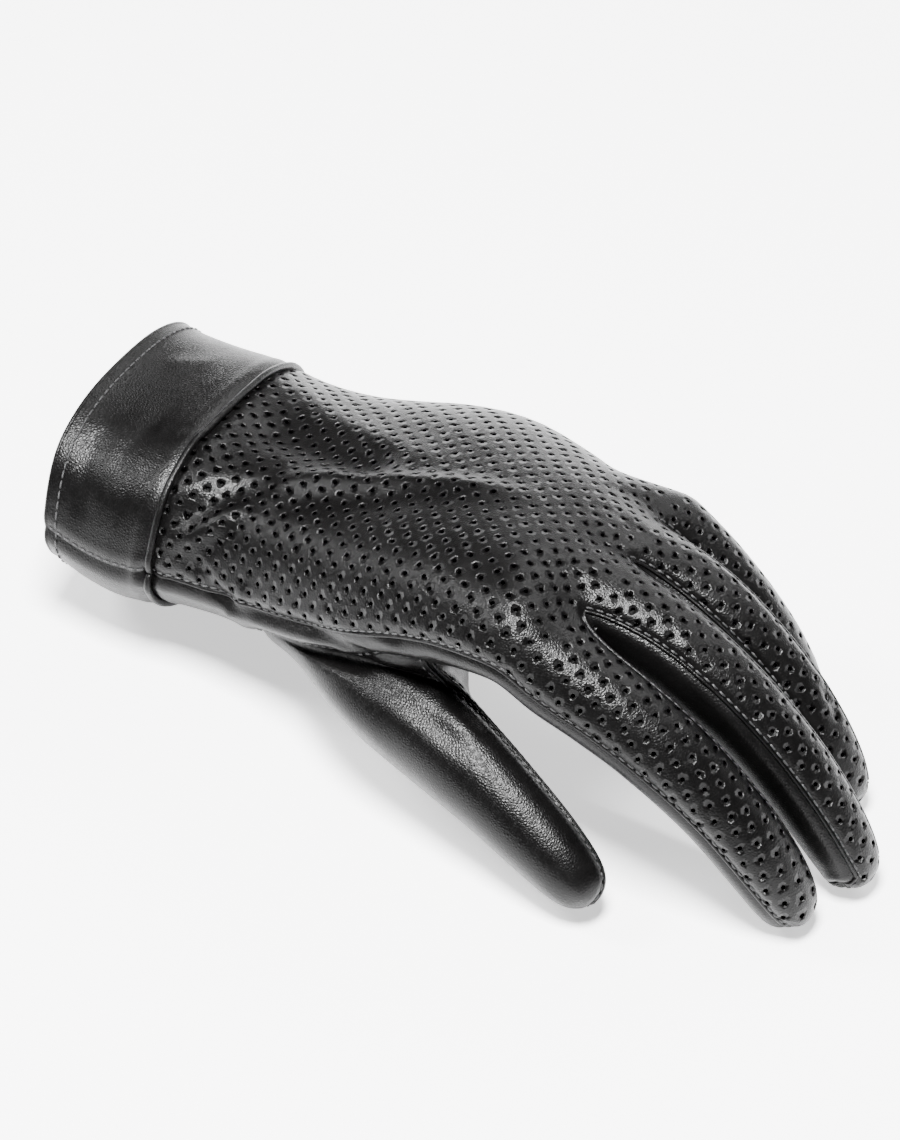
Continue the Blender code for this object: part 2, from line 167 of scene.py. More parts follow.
def cageHand(cage):
    for row, section in enumerate(handSections):
        for j, across in enumerate(columns):
            cage.add(("b", row, j), sectionPoint(section, across, False))
            cage.add(("p", row, j), sectionPoint(section, across, True))
        cage.add(("s", row, 0), sectionPoint(section, -1.0, False))
        cage.add(("s", row, 1), sectionPoint(section, 1.0, False))


def cageCrotch(cage, rings):
    last = len(handSections)
    for i in range(5):
        left = rings[fingers[i - 1]][0] if i > 0 else None
        right = rings[fingers[i]][0] if i < 4 else None
        if left and right:
            back = (left[2] + right[0]) / 2 - Vector((skinShape["crotchBack"], 0, 0))
            side = (left[3] + right[7]) / 2
            palm = (left[4] + right[6]) / 2 + Vector((skinShape["crotchPalm"], 0, 0))
        else:
            back, side, palm = (right[0], right[7], right[6]) if right else (left[2], left[3], left[4])
        cage.add(("b", last, 2 * i), back)
        cage.add(("s", last, 2 * i), side)
        cage.add(("p", last, 2 * i), palm)
    for i, name in enumerate(fingers):
        cage.add(("b", last, 2 * i + 1), rings[name][0][1])
        cage.add(("p", last, 2 * i + 1), rings[name][0][5])


def cageHandFaces(cage):
    last = len(handSections)
    for row in range(last):
        for j in range(8):
            cage.face([("b", row, j), ("b", row + 1, j), ("b", row + 1, j + 1), ("b", row, j + 1)],
                      handTag(row, "b"))
            if row in thumbRows[:-1] and j in thumbColumns[:-1]:
                continue
            cage.face([("p", row, j + 1), ("p", row + 1, j + 1), ("p", row + 1, j), ("p", row, j)],
                      handTag(row, "p"))
        for side, column in ((0, 0), (1, 8)):
            far = column if row + 1 == last else side
            upper = [("b", row, column), ("s", row, side), ("s", row + 1, far), ("b", row + 1, column)]
            lower = [("s", row, side), ("p", row, column), ("p", row + 1, column), ("s", row + 1, far)]
            if side:
                upper.reverse()
                lower.reverse()
            cage.face(upper, handTag(row, "b"))
            cage.face(lower, handTag(row, "p"))


def fingerPart(i, k):
    if k in (0, 1) or (i == 3 and k == 2) or (i == 0 and k == 7):
        return "Back"
    if k in (4, 5) or (i == 3 and k == 3) or (i == 0 and k == 6):
        return "Palm"
    return "GussetFar" if k in (2, 3) else "GussetNear"


def thumbPart(k):
    return "Inner" if k in (3, 4, 5, 6) else "Outer"


def cageTube(cage, name, first, rings, tip, part):
    count, previous = len(first), first
    for level, ring in enumerate(rings):
        keys = [(name, level, k) for k in range(count)]
        for key, place in zip(keys, ring):
            cage.add(key, place)
        for k in range(count):
            n = (k + 1) % count
            cage.face([previous[k], keys[k], keys[n], previous[n]], name + part(k))
        previous = keys
    cage.add((name, "tip", 0), tip)
    return previous, (name, "tip", 0)


def cageFingers(cage, rings):
    last = len(handSections)
    for i, name in enumerate(fingers):
        a, b, c = 2 * i, 2 * i + 1, 2 * i + 2
        first = [("b", last, a), ("b", last, b), ("b", last, c), ("s", last, c),
                 ("p", last, c), ("p", last, b), ("p", last, a), ("s", last, a)]
        end, centre = cageTube(cage, name, first, rings[name][1:], stallTip(name),
                               lambda k, i=i: fingerPart(i, k))
        for a, b, c, part in ((7, 0, 1, "Back"), (1, 2, 3, "Back"), (3, 4, 5, "Palm"), (5, 6, 7, "Palm")):
            cage.face([end[a], centre, end[c], end[b]], name + part)


def cageThumb(cage):
    first, last = thumbRows[0], thumbRows[-1]
    hole = [("p", row, 0) for row in thumbRows] + [("p", last, j) for j in (1, 2, 3)]
    hole += [("p", row, 3) for row in (last - 1, last - 2, first)] + [("p", first, j) for j in (2, 1)]
    rings = [stallRing("thumb", station, thumbAngles, 1.0, shear)
             for station, shear in zip(thumbStations, thumbShear)]
    end, centre = cageTube(cage, "thumb", hole, rings, stallTip("thumb"), thumbPart)
    for k in range(0, 12, 2):
        a, b, c = (k + 1) % 12, (k + 2) % 12, (k + 3) % 12
        cage.face([end[a], centre, end[c], end[b]], "thumb" + thumbPart(a))


def makeCage():
    cage = Cage()
    cageHand(cage)
    rings, swell = {}, skinShape["ringSwell"]
    for name in fingers:
        rings[name] = [stallRing(name, (0.0, 1.0, 0.0), ringAngles, swell)]
        for k, station in enumerate(fingerStations):
            rings[name].append(stallRing(name, station, ringAngles, swell, 0.0 if k else firstShear[name]))
    cageCrotch(cage, rings)
    cageHandFaces(cage)
    cageFingers(cage, rings)
    cageThumb(cage)
    return cage


class Skin:
    # vertices in metres, unit normals, faces as vertex lists, one panel tag for each face
    def __init__(self, points, normals, faces, tags):
        self.points, self.normals, self.faces, self.tags = points, normals, faces, tags

    def part(self, wanted):
        keep = [i for i, tag in enumerate(self.tags) if tag in wanted]
        used = sorted({v for i in keep for v in self.faces[i]})
        at = {v: k for k, v in enumerate(used)}
        faces = [[at[v] for v in self.faces[i]] for i in keep]
        return Skin(self.points[used], self.normals[used], faces, [self.tags[i] for i in keep])

    def edges(self):
        owner = {}
        for face, tag in zip(self.faces, self.tags):
            for a, b in zip(face, face[1:] + face[:1]):
                owner[(a, b)] = tag
        return owner


def smoothSkin(cage, level):
    names = sorted(set(cage.tags))
    mesh = bpy.data.meshes.new("skin")
    mesh.from_pydata([(p - footprint) * mm for p in cage.points], [], cage.faces)
    for name in names:
        mesh.materials.append(None)
    for polygon, tag in zip(mesh.polygons, cage.tags):
        polygon.material_index = names.index(tag)
    skin = bpy.data.objects.new("skin", mesh)
    bpy.context.collection.objects.link(skin)
    bpy.context.view_layer.objects.active = skin
    skin.select_set(True)
    smooth = skin.modifiers.new("smooth", "SUBSURF")
    smooth.levels = smooth.render_levels = level
    bpy.ops.object.modifier_apply(modifier="smooth")
    mesh = skin.data
    points = np.empty(len(mesh.vertices) * 3)
    mesh.vertices.foreach_get("co", points)
    points = points.reshape(-1, 3)
    points[:, 2] = np.maximum(points[:, 2], 0.0)
    faces = [list(p.vertices) for p in mesh.polygons]
    tags = [names[p.material_index] for p in mesh.polygons]
    bpy.data.objects.remove(skin, do_unlink=True)
    return Skin(points, vertexNormals(points, faces), faces, tags)


def vertexNormals(points, faces):
    quads = np.array([f if len(f) == 4 else f + f[-1:] for f in faces])
    across = points[quads[:, 2]] - points[quads[:, 0]]
    normal = np.cross(across, points[quads[:, 3]] - points[quads[:, 1]])
    sums = np.zeros_like(points)
    for k in range(4):
        np.add.at(sums, quads[:, k], normal)
    length = np.linalg.norm(sums, axis=1, keepdims=True)
    return sums / np.maximum(length, 1e-12)


def chainsOf(edges):
    # joins loose edges into ordered chains of vertices
    ahead = {}
    for a, b in edges:
        ahead.setdefault(a, []).append(b)
        ahead.setdefault(b, []).append(a)
    left = {tuple(sorted(e)) for e in edges}
    chains = []
    starts = sorted(v for v in ahead if len(ahead[v]) != 2) + sorted(ahead)
    for start in starts:
        for second in sorted(ahead[start]):
            if tuple(sorted((start, second))) not in left:
                continue
            chain = [start, second]
            left.discard(tuple(sorted((start, second))))
            while len(ahead[chain[-1]]) == 2 and chain[-1] != start:
                onward = [v for v in ahead[chain[-1]] if tuple(sorted((chain[-1], v))) in left]
                if not onward:
                    break
                left.discard(tuple(sorted((chain[-1], onward[0]))))
                chain.append(onward[0])
            chains.append(chain)
    return chains


def seamEdges(skin, first, second):
    # edges with a panel of the first kind on one side and of the second kind on the other
    owner = skin.edges()
    found = []
    for (a, b), tag in owner.items():
        other = owner.get((b, a))
        if tag in first and other in second:
            found.append((a, b))
    return found


def smoothNoise(points, size, seed):
    # low, soft waves: a few crossed sines at odd angles
    rng = np.random.default_rng(seed)
    total = np.zeros(len(points))
    for k in range(7):
        way = rng.normal(size=3)
        way /= np.linalg.norm(way)
        total += np.sin(points @ way * (2 * math.pi / (size * rng.uniform(0.7, 1.5))) + rng.uniform(0, 6.3))
    return total / 7


def distanceTo(points, places):
    tree = KDTree(len(places))
    for i, place in enumerate(places):
        tree.insert(Vector(place), i)
    tree.balance()
    return np.array([tree.find(Vector(p))[2] for p in points])


def polylineDistance(points, line):
    # distance to a line of straight pieces, and how far along it the nearest place is
    line = np.array(line, float)
    best = np.full(len(points), 1e9)
    share = np.zeros(len(points))
    steps = np.linalg.norm(np.diff(line, axis=0), axis=1)
    total, gone = steps.sum(), 0.0
    for a, b, step in zip(line[:-1], line[1:], steps):
        t = np.clip(((points - a) @ (b - a)) / step ** 2, 0, 1)
        far = np.linalg.norm(points - (a + t[:, None] * (b - a)), axis=1)
        near = far < best
        best[near] = far[near]
        share[near] = ((gone + t * step) / total)[near]
        gone += step
    return best, share


folds = (  # line in mm on the glove (x, y, z), ridge height in mm, half width in mm
    (((-66, -9, 51), (-60, -7, 53), (-43, 0, 56), (-17, 5, 63), (10, 10, 66)), 1.5, 4.0),
    (((-66, -14, 50), (-58, -13, 52), (-39, -7, 57), (-16, -4, 64)), -0.9, 4.5),
    (((-75, -26, 39), (-66, -22, 46), (-58, -16, 51), (-48, -9, 55)), 1.3, 3.0),
    (((-66, -28, 40), (-60, -22, 47), (-57, -15, 52), (-50, -12, 55)), -1.0, 2.4),
    (((-76, -24, 42), (-69, -17, 49), (-62, -10, 52), (-51, -1, 54)), -1.3, 3.6),
    (((-84, 34, 45), (-68, 29, 47), (-43, 19, 54), (-17, 10, 62)), 1.0, 6.0),
    (((-76, 14, 51), (-50, 11, 54), (-28, 8, 60)), -1.9, 6.5),
    (((-82, 2, 52), (-74, -9, 52), (-70, -19, 48)), 1.0, 5.5),
    (((-68, -26, 39), (-58, -29, 34), (-50, -31, 31)), -1.0, 2.0),
    (((-50, -27, 40), (-53, -30, 32), (-56, -30, 26)), 0.9, 1.8),
    (((-56, -29, 31), (-50, -30, 32), (-31, -34, 40), (-15, -37, 43), (-2, -36, 44)), -1.3, 1.9),
    (((-22, -35, 39), (-16, -36, 40), (-8, -35, 40), (2, -35, 42)), 1.1, 1.7),
    (((-24, -35, 46), (-11, -37, 50), (0, -38, 52)), 0.7, 1.7),
    (((-24, -34, 33), (-3, -39, 37), (13, -43, 36), (24, -46, 34)), -0.8, 3.2),
    (((10, -38, 36), (22, -41, 34)), 0.6, 2.6),
    (((-34, -36, 28), (-16, -44, 29), (2, -50, 28)), 0.6, 4.5),
    (((82, 14, 39), (85, 13, 35), (88, 12, 31), (92, 11, 27)), 0.8, 1.3),
    (((80, 11, 39), (83, 11, 35), (88, 9, 28)), -0.7, 1.3),
    (((84, 18, 34), (88, 17, 29), (90, 14, 25)), -0.6, 1.4),
    (((58, -8, 62), (64, -11, 58), (70, -13, 53)), 0.4, 1.5),
    (((60, -3, 61), (66, -6, 57), (72, -8, 52)), -0.35, 1.6),
    (((36, -11, 67), (27, -11, 70), (18, -13, 72)), -0.45, 1.8),
    (((38, -15, 66), (29, -17, 70), (20, -20, 72)), 0.35, 1.8),
    (((36, 15, 62), (26, 18, 62), (18, 15, 63)), -0.45, 1.9),
    (((38, 10, 63), (28, 11, 65), (19, 9, 66)), 0.35, 1.9),
    (((34, 34, 52), (26, 32, 55), (18, 28, 59)), -0.45, 2.0),
    (((7, -18, 71), (17, -28, 71), (23, -36, 70)), -0.5, 4.5),
    (((54, -46, 52), (62, -44, 50), (66, -38, 50)), -0.35, 2.2),
    (((-104, -8, 50), (-101, -20, 46), (-99, -30, 38)), -0.6, 3.5),
    (((-92, 6, 50), (-94, -10, 49), (-92, -24, 43)), -0.5, 3.2),
    (((-104, 20, 48), (-98, 26, 45), (-94, 34, 38)), 0.5, 3.5),
)
leatherPull = (  # slow waves: height in mm, size in mm, seed
    (0.3, 34, 3),
    (0.07, 13, 4),
)


def isCuff(skin):
    # 1 at vertices of the cuff band
    cuff = np.zeros(len(skin.points))
    for face, tag in zip(skin.faces, skin.tags):
        if tag.startswith("cuff"):
            cuff[face] = 1
    return cuff


def dressed(skin, valleys):
    # pulls the seams in, raises the folds and lets the leather sag a little between
    points, normals = skin.points.copy(), skin.normals
    push = sum(height * smoothNoise(points / mm, size, seed) for height, size, seed in leatherPull)
    for seam, depth, width in valleys:
        far = distanceTo(points, seam) / mm
        push += -depth * np.exp(-(far / width) ** 2)
        push += 0.28 * depth * np.exp(-((far - 2.6 * width) / width) ** 2)  # the puckered ridge beside it
    for line, height, width in folds:
        far, share = polylineDistance(points / mm, line)
        fade = np.clip(np.minimum(share, 1 - share) * 5 + 0.08, 0, 1)
        push += height * fade * np.exp(-(far / width) ** 2)
    x = points[:, 0] / mm
    push += skinShape["cuffLift"] * np.clip((x + 108) / 18, 0, 1) * isCuff(skin)  # none at the mouth
    points += normals * (push * mm)[:, None]
    points[:, 2] = np.maximum(points[:, 2], skinShape["aboveTable"])
    return Skin(points, vertexNormals(points, skin.faces), skin.faces, skin.tags)


print("skin")
cage = makeCage()
plain = smoothSkin(cage, 4)
fingerTags = {n: [n + "Back", n + "Palm", n + "GussetNear", n + "GussetFar"] for n in fingers}
backTags = ["handBack"] + [n + "Back" for n in fingers]
palmTags = ["handPalm"] + [n + "Palm" for n in fingers]
gussetTags = [n + side for n in fingers for side in ("GussetNear", "GussetFar")]


def seamPoints(skin, first, second):
    return skin.points[sorted({v for e in seamEdges(skin, first, second) for v in e})]


valleys = (
    (seamPoints(plain, backTags, palmTags), 0.9, 1.5),
    (seamPoints(plain, backTags, gussetTags), 0.55, 1.1),
    (seamPoints(plain, palmTags, gussetTags), 0.55, 1.1),
    (seamPoints(plain, ["cuffBack", "cuffPalm"], backTags + ["handPalm"]), 0.7, 1.5),
    (seamPoints(plain, ["cuffBack"], ["cuffPalm"]), 0.6, 1.4),
    (seamPoints(plain, ["handPalm"], ["thumbOuter", "thumbInner"]), 1.1, 1.9),
    (seamPoints(plain, ["thumbOuter"], ["thumbInner"]), 0.5, 1.2),
)
skin = dressed(plain, valleys)


# pieces

def makePiece(name, points, faces):
    name = name.replace(", ", "_").replace(" ", "_")
    mesh = bpy.data.meshes.new(name)
    mesh.from_pydata([tuple(p) for p in points], [], faces)
    mesh.update()
    piece = bpy.data.objects.new(name, mesh)
    bpy.context.collection.objects.link(piece)
    for polygon in mesh.polygons:
        polygon.use_smooth = True
    return piece


def pick(piece):
    bpy.ops.object.select_all(action="DESELECT")
    piece.select_set(True)
    bpy.context.view_layer.objects.active = piece


def thicken(piece, thick):
    pick(piece)
    solid = piece.modifiers.new("thickness", "SOLIDIFY")
    solid.thickness = thick * mm
    solid.offset = -1.0
    bpy.ops.object.modifier_apply(modifier="thickness")
    bpy.ops.object.shade_smooth_by_angle(angle=math.radians(50))


bending = {  # shares of a stall's length, where its leather would start to turn and have fully turned; finishPiece works these places out but nothing uses them
    "thumbStart": 0.0,
    "fingerStart": 0.03,
    "end": 0.24,
}


def placed(vector):
    return tuple((vector - footprint) * mm)


def finishPiece(piece, slot, nodes, stall=None):
    # gives a piece its finish and makes it move with the hand; a stall's piece only has its transform baked
    # and does not turn from the hand into the stall
    piece.data.materials.clear()
    piece.data.materials.append(finishes[slot])
    if stall:
        start = placed(onPath(stall, bending["thumbStart" if stall == "thumb" else "fingerStart"]))
        placed(onPath(stall, bending["end"]))
        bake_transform(piece)
    else:
        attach(piece, "hand")
    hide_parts(*nodes)


# materials

def material(name):
    made = bpy.data.materials.new(name)
    made.use_nodes = True
    return made, made.node_tree.nodes, made.node_tree.links, made.node_tree.nodes["Principled BSDF"]


def shadeFrom(nodes, links, shader, value, dark, light, low=0.0, high=1.0):
    # the base colour runs from dark to light as the value goes from low to high
    shade = nodes.new("ShaderNodeValToRGB")
    for element, position, colour in zip(shade.color_ramp.elements, (low, high), (dark, light)):
        element.position = position
        element.color = (*colour, 1)
    links.new(value, shade.inputs["Fac"])
    links.new(shade.outputs["Color"], shader.inputs["Base Color"])
    return shade


def bumpFrom(nodes, links, value, strength, distance, under=None):
    bump = nodes.new("ShaderNodeBump")
    bump.inputs["Strength"].default_value = strength
    bump.inputs["Distance"].default_value = distance
    links.new(value, bump.inputs["Height"])
    if under:
        links.new(under.outputs["Normal"], bump.inputs["Normal"])
    return bump


leatherGrain = {
    "cells": 1420.0,  # pebbles per metre
    "warp": 420.0,
    "clouds": 60.0,  # slow changes of shade
    "pull": (60.0, 420.0, 220.0),  # fine lines along the glove
    "sheenUnder": 0.02,  # roughness less and more than the leather's own
    "sheenOver": 0.03,
    "gloss": 0.15,
}
leatherLooks = {  # two shades of black, roughness, depth of the grain and of the pull lines
    "perforated black leather": ((0.0007, 0.00065, 0.00065), (0.0017, 0.0016, 0.0016), 0.32, 0.2, 0.03),
    "cut leather": ((0.0012, 0.0011, 0.001), (0.003, 0.0026, 0.0024), 0.62, 0.3, 0.05),
    "smooth black leather": ((0.0007, 0.00065, 0.00065), (0.0017, 0.0016, 0.0016), 0.33, 0.2, 0.03),
}


def leather(name):
    # pebbled grain from fine cells, pull lines from stretched noise, patchy sheen
    dark, light, rough, grain, creases = leatherLooks[name]
    made, nodes, links, shader = material(name)
    place = nodes.new("ShaderNodeTexCoord")
    cells = nodes.new("ShaderNodeTexVoronoi")
    cells.feature = "DISTANCE_TO_EDGE"
    cells.inputs["Scale"].default_value = leatherGrain["cells"]
    warp = nodes.new("ShaderNodeTexNoise")
    warp.inputs["Scale"].default_value = leatherGrain["warp"]
    warp.inputs["Detail"].default_value = 3.0
    broad = nodes.new("ShaderNodeTexNoise")
    broad.inputs["Scale"].default_value = leatherGrain["clouds"]
    broad.inputs["Detail"].default_value = 5.0
    stretch = nodes.new("ShaderNodeMapping")
    stretch.inputs["Scale"].default_value = leatherGrain["pull"]
    pull = nodes.new("ShaderNodeTexNoise")
    pull.inputs["Scale"].default_value = 1.0
    pull.inputs["Detail"].default_value = 4.0
    for texture in (cells, warp, broad):
        links.new(place.outputs["Object"], texture.inputs["Vector"])
    links.new(place.outputs["Object"], stretch.inputs["Vector"])
    links.new(stretch.outputs["Vector"], pull.inputs["Vector"])
    shadeFrom(nodes, links, shader, broad.outputs["Fac"], dark, light, 0.35, 0.7)
    sheen = nodes.new("ShaderNodeMapRange")
    sheen.inputs["From Min"].default_value = 0.3
    sheen.inputs["From Max"].default_value = 0.7
    sheen.inputs["To Min"].default_value = rough - leatherGrain["sheenUnder"]
    sheen.inputs["To Max"].default_value = rough + leatherGrain["sheenOver"]
    links.new(warp.outputs["Fac"], sheen.inputs["Value"])
    links.new(sheen.outputs["Result"], shader.inputs["Roughness"])
    pebbles = bumpFrom(nodes, links, cells.outputs["Distance"], grain * 1.8, 0.0004)
    uneven = bumpFrom(nodes, links, warp.outputs["Fac"], grain, 0.0001, pebbles)
    lines = bumpFrom(nodes, links, pull.outputs["Fac"], creases, 0.0005, uneven)
    links.new(lines.outputs["Normal"], shader.inputs["Normal"])
    shader.inputs["Specular IOR Level"].default_value = leatherGrain["gloss"]
    return made


knit = {
    "ribs": 260.0,
    "courses": 240.0,
    "wander": 1.5,
    "dark": (0.004, 0.004, 0.004),
    "light": (0.012, 0.012, 0.012),
}


def cloth(name):
    # a fine knit: ribs one way crossed by courses the other way
    made, nodes, links, shader = material(name)
    place = nodes.new("ShaderNodeTexCoord")
    ribs = nodes.new("ShaderNodeTexWave")
    ribs.inputs["Scale"].default_value = knit["ribs"]
    ribs.bands_direction = "Y"
    ribs.inputs["Distortion"].default_value = knit["wander"]
    courses = nodes.new("ShaderNodeTexWave")
    courses.inputs["Scale"].default_value = knit["courses"]
    courses.bands_direction = "X"
    courses.inputs["Distortion"].default_value = knit["wander"]
    weave = nodes.new("ShaderNodeMix")
    weave.data_type = "FLOAT"
    weave.inputs["Factor"].default_value = 0.5
    for texture in (ribs, courses):
        links.new(place.outputs["Object"], texture.inputs["Vector"])
    links.new(ribs.outputs["Fac"], weave.inputs["A"])
    links.new(courses.outputs["Fac"], weave.inputs["B"])
    shadeFrom(nodes, links, shader, weave.outputs["Result"], knit["dark"], knit["light"])
    bump = bumpFrom(nodes, links, weave.outputs["Result"], 0.5, 0.0003)
    links.new(bump.outputs["Normal"], shader.inputs["Normal"])
    shader.inputs["Roughness"].default_value = 0.9
    return made


sewingThread = {
    "twist": 900.0,
    "dark": (0.005, 0.005, 0.005),
    "light": (0.016, 0.016, 0.017),
}


def thread(name):
    made, nodes, links, shader = material(name)
    place = nodes.new("ShaderNodeTexCoord")
    twist = nodes.new("ShaderNodeTexWave")
    twist.inputs["Scale"].default_value = sewingThread["twist"]
    twist.bands_direction = "DIAGONAL"
    links.new(place.outputs["Object"], twist.inputs["Vector"])
    shadeFrom(nodes, links, shader, twist.outputs["Fac"], sewingThread["dark"], sewingThread["light"])
    bump = bumpFrom(nodes, links, twist.outputs["Fac"], 0.6, 0.0002)
    links.new(bump.outputs["Normal"], shader.inputs["Normal"])
    shader.inputs["Roughness"].default_value = 0.55
    return made


finishes = {
    "perforated_leather": leather("perforated black leather"),
    "smooth_leather": leather("smooth black leather"),
    "lining_cloth": cloth("black lining knit"),
    "black_thread": thread("black thread"),
}
holeLeather = leather("cut leather")


# the perforated back: holes punched on a slanting lattice in the flattened leather

punching = {  # mm
    "pitch": 3.9,
    "holeRadius": 0.48,
    "rimRadius": 0.6,
    "rimSink": 0.06,
    "lipWidth": 0.04,
    "lipTurn": 0.3,  # how far the rim's shading leans into the hole
    "holeSides": 10,
    "keepOff": 0.75,  # from a hole's rim to a seam
    "thickness": 0.9,
    "gridStep": 1.05,  # between the points that carry the folds
    "gridFromSeam": 0.55,
    "gridFromRim": 0.4,
}


def flatten(part):
    # unwraps the panel, then scales and turns it to lie along the glove in mm
    piece = makePiece("flat", part.points, part.faces)
    pick(piece)
    bpy.ops.object.mode_set(mode="EDIT")
    bpy.ops.mesh.select_all(action="SELECT")
    bpy.ops.uv.unwrap(method="ANGLE_BASED", margin=0.0)
    bpy.ops.object.mode_set(mode="OBJECT")
    mesh = piece.data
    loops = np.empty(len(mesh.loops), dtype=int)
    mesh.loops.foreach_get("vertex_index", loops)
    uv = np.empty(len(mesh.loops) * 2)
    mesh.uv_layers.active.data.foreach_get("uv", uv)
    flat = np.zeros((len(part.points), 2))
    flat[loops] = uv.reshape(-1, 2)
    bpy.data.objects.remove(piece, do_unlink=True)
    quads = np.array(part.faces)
    p, q = part.points / mm, flat
    real = np.linalg.norm(np.cross(p[quads[:, 2]] - p[quads[:, 0]], p[quads[:, 3]] - p[quads[:, 1]]), axis=1)
    d, e = q[quads[:, 2]] - q[quads[:, 0]], q[quads[:, 3]] - q[quads[:, 1]]
    drawn = np.abs(d[:, 0] * e[:, 1] - d[:, 1] * e[:, 0])
    flat = (flat - flat.mean(axis=0)) * math.sqrt(real.sum() / drawn.sum())
    top = p[:, :2] - p[:, :2].mean(axis=0)
    u, _, v = np.linalg.svd(flat.T @ top)
    return flat @ (u @ v)


def mapper(part, flat):
    # takes a spot on the flat leather back to its place and normal on the glove
    corners = [Vector((x, y, 0)) for x, y in flat]
    triangles = [t for f in part.faces for t in ((f[0], f[1], f[2]), (f[0], f[2], f[3]))]
    tree = BVHTree.FromPolygons(corners, triangles)
    points = [Vector(p) for p in part.points]
    normals = [Vector(n) for n in part.normals]

    def find(x, y):
        place, _, index, far = tree.find_nearest(Vector((x, y, 0)))
        a, b, c = triangles[index]
        flatThree = (corners[a], corners[b], corners[c])
        point = barycentric_transform(place, *flatThree, points[a], points[b], points[c])
        normal = barycentric_transform(place, *flatThree, normals[a], normals[b], normals[c]).normalized()
        return point, normal, far, index // 2
    return find


def borderEdges(part):
    owner = part.edges()
    return [e for e in owner if (e[1], e[0]) not in owner]


onFlat = 1e-4  # a spot this near the flattened leather, in mm, is on it


def perforate(part):
    # punches the lattice and fills the leather between with triangles
    flat = flatten(part)
    find = mapper(part, flat)
    border = borderEdges(part)
    owner = part.edges()
    dividing = [e for e, tag in owner.items() if e[0] < e[1] and owner.get((e[1], e[0]), tag) != tag]
    fixed = sorted({v for e in border + dividing for v in e})
    at = {v: i for i, v in enumerate(fixed)}
    spots = [Vector(flat[v]) for v in fixed]
    edges = [(at[a], at[b]) for a, b in border + dividing]
    keepOff = KDTree(len(fixed))
    for i, spot in enumerate(spots):
        keepOff.insert(spot.to_3d(), i)
    keepOff.balance()
    low, high = flat.min(axis=0), flat.max(axis=0)
    rim, sides, grid = punching["rimRadius"], punching["holeSides"], punching["gridStep"]
    holes = []
    step = punching["pitch"] / math.sqrt(2)
    for i in range(int((high[0] - low[0]) / step) + 1):
        for j in range(int((high[1] - low[1]) / step) + 1):
            if (i + j) % 2:
                continue
            spot = Vector((low[0] + i * step, low[1] + j * step))
            if find(*spot)[2] < onFlat and keepOff.find(spot.to_3d())[2] > rim + punching["keepOff"]:
                holes.append(spot)
    rings = []
    for spot in holes:
        rings.append(range(len(spots), len(spots) + sides))
        for k in range(sides):
            a = 2 * math.pi * k / sides
            spots.append(spot + Vector((math.cos(a), math.sin(a))) * rim)
        ring = list(rings[-1])
        edges += list(zip(ring, ring[1:] + ring[:1]))
    punched = KDTree(len(holes))
    for i, spot in enumerate(holes):
        punched.insert(spot.to_3d(), i)
    punched.balance()
    for i in range(int((high[0] - low[0]) / grid) + 1):
        for j in range(int((high[1] - low[1]) / grid) + 1):
            shift = 0.5 * (j % 2)
            spot = Vector((low[0] + (i + shift) * grid, low[1] + j * grid))
            if find(*spot)[2] > onFlat or keepOff.find(spot.to_3d())[2] < punching["gridFromSeam"]:
                continue
            if punched.find(spot.to_3d())[2] > rim + punching["gridFromRim"]:
                spots.append(spot)
    places, _, triangles, origins, _, _ = delaunay_2d_cdt(spots, edges, [], 0, 1e-6)
    newAt = {}
    for i, sources in enumerate(origins):
        for source in sources:
            newAt.setdefault(source, i)
    ringOf = {}
    for h, ring in enumerate(rings):
        for v in ring:
            ringOf[newAt[v]] = h
    found = [find(*p) for p in places]
    keep, tags = [], []
    for triangle in triangles:
        owners = {ringOf.get(v, -1) for v in triangle}
        if len(owners) == 1 and -1 not in owners:
            continue
        centre = sum((places[v] for v in triangle), Vector((0, 0))) / 3
        seen = find(*centre)
        if seen[2] > onFlat:
            continue
        keep.append(tuple(triangle))
        tags.append(part.tags[seen[3]])
    rings = [[newAt[v] for v in ring] for ring in rings]
    centres = [find(*spot)[:2] for spot in holes]
    return found, keep, tags, rings, centres


